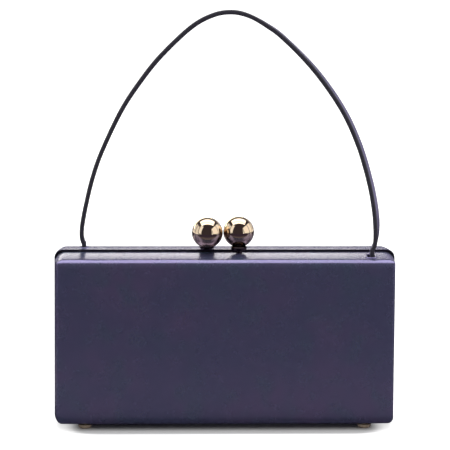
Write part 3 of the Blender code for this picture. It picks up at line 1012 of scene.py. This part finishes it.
def makeFeet(half):
    form = footForm
    for where in ("left", "right"):
        name = half + "_foot_" + where
        low, high = nodeBox(name)
        middle = middleOf(name)
        bevel = form["bevel"]
        profile = [(0, high.z), (form["shank"] - bevel, high.z), (form["shank"], high.z - bevel),
                   (form["shank"], form["seat"]), (form["radius"] - bevel, form["seat"]),
                   (form["radius"], form["seat"] - bevel)]
        for step in range(form["domeSteps"] + 1):
            angle = math.pi / 2 * step / form["domeSteps"]
            spread = form["flat"] + (form["radius"] - form["flat"]) * math.cos(angle)
            profile.append((spread, (form["seat"] - form["rim"]) * (1 - math.sin(angle)) + low.z))
        profile.append((0, low.z))
        bm = spun(profile, Vector((middle.x, middle.y, 0)), form["steps"])
        foot = addPiece(half + "Stud" + where.capitalize(), bm, [wornGold], half)
        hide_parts(name)


for half in halves:
    makeFeet(half)
print("feet made")


# Gussets: a folded suede sheet at each side, sewn to both halves

gussetForm = {
    "thickness": 0.5 * mm,
    "topFold": 25.6 * mm,
    "bottomFold": 3.0 * mm,
    "mouth": 3.1 * mm,              # half of it
    "crease": 0.05,                 # softness of the fold, as a share of its mouth
    "rows": 28,
    "columns": 24,
}


def makeGusset(where, sign):
    form = gussetForm
    low, high = nodeBox("gusset_" + where)
    edgeX = high.x if sign > 0 else low.x
    bm = bmesh.new()
    rows = []
    for row in range(form["rows"] + 1):
        share = row / form["rows"]
        reach = form["bottomFold"] + (form["topFold"] - form["bottomFold"]) * share
        verts = []
        for column in range(form["columns"] + 1):
            u = 2 * column / form["columns"] - 1
            soft = (math.sqrt(u * u + form["crease"] ** 2) - form["crease"]) / (1 - form["crease"])
            inward = reach * (1 - min(soft, 1))
            x = edgeX - sign * (inward + form["thickness"] / 2)
            verts.append(bm.verts.new((x, -u * form["mouth"], low.z + (high.z - low.z) * share)))
        rows.append(verts)
    for row, following in zip(rows, rows[1:]):
        for index in range(form["columns"]):
            bm.faces.new((row[index], row[index + 1], following[index + 1], following[index]))
    bmesh.ops.recalc_face_normals(bm, faces=bm.faces)
    gusset = addPiece("gussetSheet" + where.capitalize(), bm, [plumSuede])
    solid = gusset.modifiers.new("thickness", "SOLIDIFY")
    solid.thickness = form["thickness"]
    solid.offset = 0
    carve(gusset, [], sharp=50)
    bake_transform(gusset)
    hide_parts("gusset_" + where)


for where, sign in (("left", -1), ("right", 1)):
    makeGusset(where, sign)
print("gussets folded")


# Finishes of the solids that stay in sight

finishOf = {
    "navy_leather": strapLeather,
    "stiff_board": stiffBoard,
    "polished_gold": polishedGold,
    "plain_brass": plainBrass,
    "plum_lining": plumSuede,
}
for subpart in frame["record"]["subparts"]:
    solid = nodes[subpart["node"]]
    for index in range(len(solid.data.materials)):
        solid.data.materials[index] = finishOf[subpart["material_slot"]]


# Studio: a pale floor that runs off to white, softboxes, and dark cards above them, behind the bag
# and around the lens, which only shiny surfaces see

studio = {
    "floor": 0.64,
    "shade": (0.073, 0.023, 0),     # half of where the floor keeps its full shadow
    "glow": ((0.005, 0.011, 0.66), (0.35, 2.4, 0.40)),      # from, to and rise, by distance from it
    "stretch": (0.5, 1, 1),         # the glow sets in more slowly towards the ends
    "floorSize": 12,
    "floorDrop": 0.05 * mm,         # below the feet
    "fill": 0.42,                   # of the world, on all but what the camera or shine sees
    "housing": 0.01,                # behind the cloth of a softbox
    # Overhead, strip behind, left, right, front: place, aim, width, height, brightness, colour and
    # dark frame; one without a frame isn't seen in shine
    "softboxes": (
        ((0.0, 0.26, 1.15), (0.0, 0.26, 0.0), 1.60, 1.12, 2.5, (1, 1, 1), 0.10),
        ((-0.70, 1.25, 0.43), (-0.70, 0.0, 0.10), 1.80, 0.15, 5.8, (0.98, 1, 0.74), 0),
        ((-0.95, -0.55, 0.62), (0.0, 0.0, 0.10), 0.50, 1.20, 1.2, (1, 1, 1), 0.10),
        ((0.95, -0.20, 0.46), (0.0, 0.0, 0.10), 1.60, 0.88, 1.3, (1, 0.98, 0.95), 0.10),
        ((0.0, -1.50, 1.30), (0.0, 0.0, 0.05), 1.60, 1.00, 1.3, (1, 1, 1), None),
    ),
    # Round the lens, above it, ceiling, behind and horizon: place, aim, width, height, colour
    "cards": (
        ((-0.20, -1.0, 0.60), (-0.20, 0.0, 0.60), 1.60, 1.20, (0.05, 0.04, 0.05, 1)),
        ((-0.20, -0.61, 1.20), (-0.20, -0.61, 0.0), 1.60, 0.80, (0.05, 0.04, 0.05, 1)),
        ((0.0, 0.20, 1.35), (0.0, 0.20, 0.0), 3.20, 3.20, (0.07, 0.06, 0.07, 1)),
        ((0.0, 1.06, 0.87), (0.0, 0.0, 0.10), 2.40, 0.66, (0.11, 0.10, 0.12, 1)),
        ((0.0, 1.27, 0.18), (0.0, 0.0, 0.18), 2.40, 0.36, (0.20, 0.18, 0.25, 1)),
    ),
    "table": 2.0,                   # dark cloth round the bag, which only shiny surfaces see
    "tableDrop": 0.02 * mm,
    "footprint": (0.1, 0.023, 0),   # half the bag's
    # Colours close to the bag, a painted contact shadow, beside it, a painted lit band, and away from
    # it, and where one runs into the next
    "tableColors": ((0.020, 0.016, 0.030, 1), (0.130, 0.110, 0.130, 1), (0.046, 0.034, 0.060, 1)),
    "tableShade": ((0.015, 0.045), (0.12, 0.26)),
}


def seenWhite(f):
    names = ("Is Camera Ray", "Is Glossy Ray", "Is Transmission Ray")
    camera, glossy, transmission = [f.add("LightPath", {}, {}, name) for name in names]
    return f.maths("MAXIMUM", camera, f.maths("MAXIMUM", glossy, transmission))


def stagePiece(name, width, height):
    bm = bmesh.new()
    bmesh.ops.create_grid(bm, x_segments=1, y_segments=1, size=0.5)
    bmesh.ops.scale(bm, vec=(width, height, 1), verts=bm.verts)
    mesh = bpy.data.meshes.new(name)
    bm.to_mesh(mesh)
    bm.free()
    f = newFinish(name)
    mesh.materials.append(f.owner)
    piece = bpy.data.objects.new(name, mesh)
    scene.collection.objects.link(piece)
    return piece, f


def aimAt(thing, place, aim):
    thing.location = place
    thing.rotation_euler = (Vector(aim) - Vector(place)).to_track_quat("-Z", "Y").to_euler()


def onlyInShine(piece):
    piece.visible_camera = False
    piece.visible_diffuse = False
    piece.visible_transmission = False
    piece.visible_volume_scatter = False
    piece.visible_shadow = False


def distanceFrom(f, footprint, stretch):
    # From a rectangle in the middle, given by its half sizes
    beyond = f.add("VectorMath", {"operation": "ABSOLUTE"}, {0: f.place()})
    beyond = f.add("VectorMath", {"operation": "SUBTRACT"}, {0: beyond, 1: footprint})
    beyond = f.add("VectorMath", {"operation": "MAXIMUM"}, {0: beyond, 1: (0, 0, 0)})
    beyond = f.add("VectorMath", {"operation": "MULTIPLY"}, {0: beyond, 1: stretch})
    return f.add("VectorMath", {"operation": "LENGTH"}, {0: beyond}, 1)


def rise(f, wire, start, end, high):
    return f.add("MapRange", {"interpolation_type": "SMOOTHSTEP"},
                 {"Value": wire, "From Min": start, "From Max": end, "To Min": 0, "To Max": high})


def makeFloor():
    floor, f = stagePiece("floor", studio["floorSize"], studio["floorSize"])
    floor.location.z = -studio["floorDrop"]
    away = distanceFrom(f, studio["shade"], studio["stretch"])
    near, far = [rise(f, away, *glow) for glow in studio["glow"]]
    level = studio["floor"]
    cover = f.add("BsdfDiffuse", {}, {"Color": (level, level, level, 1)})
    glow = f.add("Emission", {}, {"Strength": seenWhite(f) * (near + far)})
    f.add("OutputMaterial", {}, {"Surface": f.add("AddShader", {}, {0: cover, 1: glow})})


def makeCards():
    cards = list(studio["cards"])
    for place, aim, width, height, brightness, color, border in studio["softboxes"]:
        if border is not None:
            back = Vector(place) + (Vector(place) - Vector(aim)).normalized() * studio["housing"]
            cards.append((back, aim, width + 2 * border, height + 2 * border, (0, 0, 0, 1)))
    for place, aim, width, height, color in cards:
        card, f = stagePiece("card", width, height)
        aimAt(card, place, aim)
        onlyInShine(card)
        f.add("OutputMaterial", {}, {"Surface": f.add("Emission", {}, {"Color": color, "Strength": 1})})
    table, f = stagePiece("table", studio["table"], studio["table"])
    table.location.z = -studio["tableDrop"]
    onlyInShine(table)
    away = distanceFrom(f, studio["footprint"], (1, 1, 1))
    # Close to the bag a painted contact shadow, beside it a painted lit band, seen only in shine
    close, beside, beyond = studio["tableColors"]
    closeEnds, beyondStarts = studio["tableShade"]
    color = f.mixed(rise(f, away, *closeEnds, 1), close, beside)
    color = f.mixed(rise(f, away, *beyondStarts, 1), color, beyond)
    f.add("OutputMaterial", {}, {"Surface": f.add("Emission", {}, {"Color": color, "Strength": 1})})


def makeStudio():
    makeFloor()
    makeCards()
    scene.world = bpy.data.worlds.new("world")
    w = Finish(scene.world)
    seen = seenWhite(w)
    strength = seen + (1 - seen) * studio["fill"]
    sky = w.add("Background", {}, {"Color": (1, 1, 1, 1), "Strength": strength})
    w.add("OutputWorld", {}, {"Surface": sky})
    for place, aim, width, height, brightness, color, border in studio["softboxes"]:
        data = bpy.data.lights.new("softbox", "AREA")
        data.shape = "RECTANGLE"
        data.size = width
        data.size_y = height
        data.color = color
        data.energy = brightness * math.pi * width * height
        lamp = bpy.data.objects.new("softbox", data)
        lamp.visible_camera = False
        lamp.visible_glossy = border is not None
        aimAt(lamp, place, aim)
        scene.collection.objects.link(lamp)


makeStudio()
scene.view_settings.view_transform = "Standard"
print("studio lit")

bpy.context.view_layer.update()
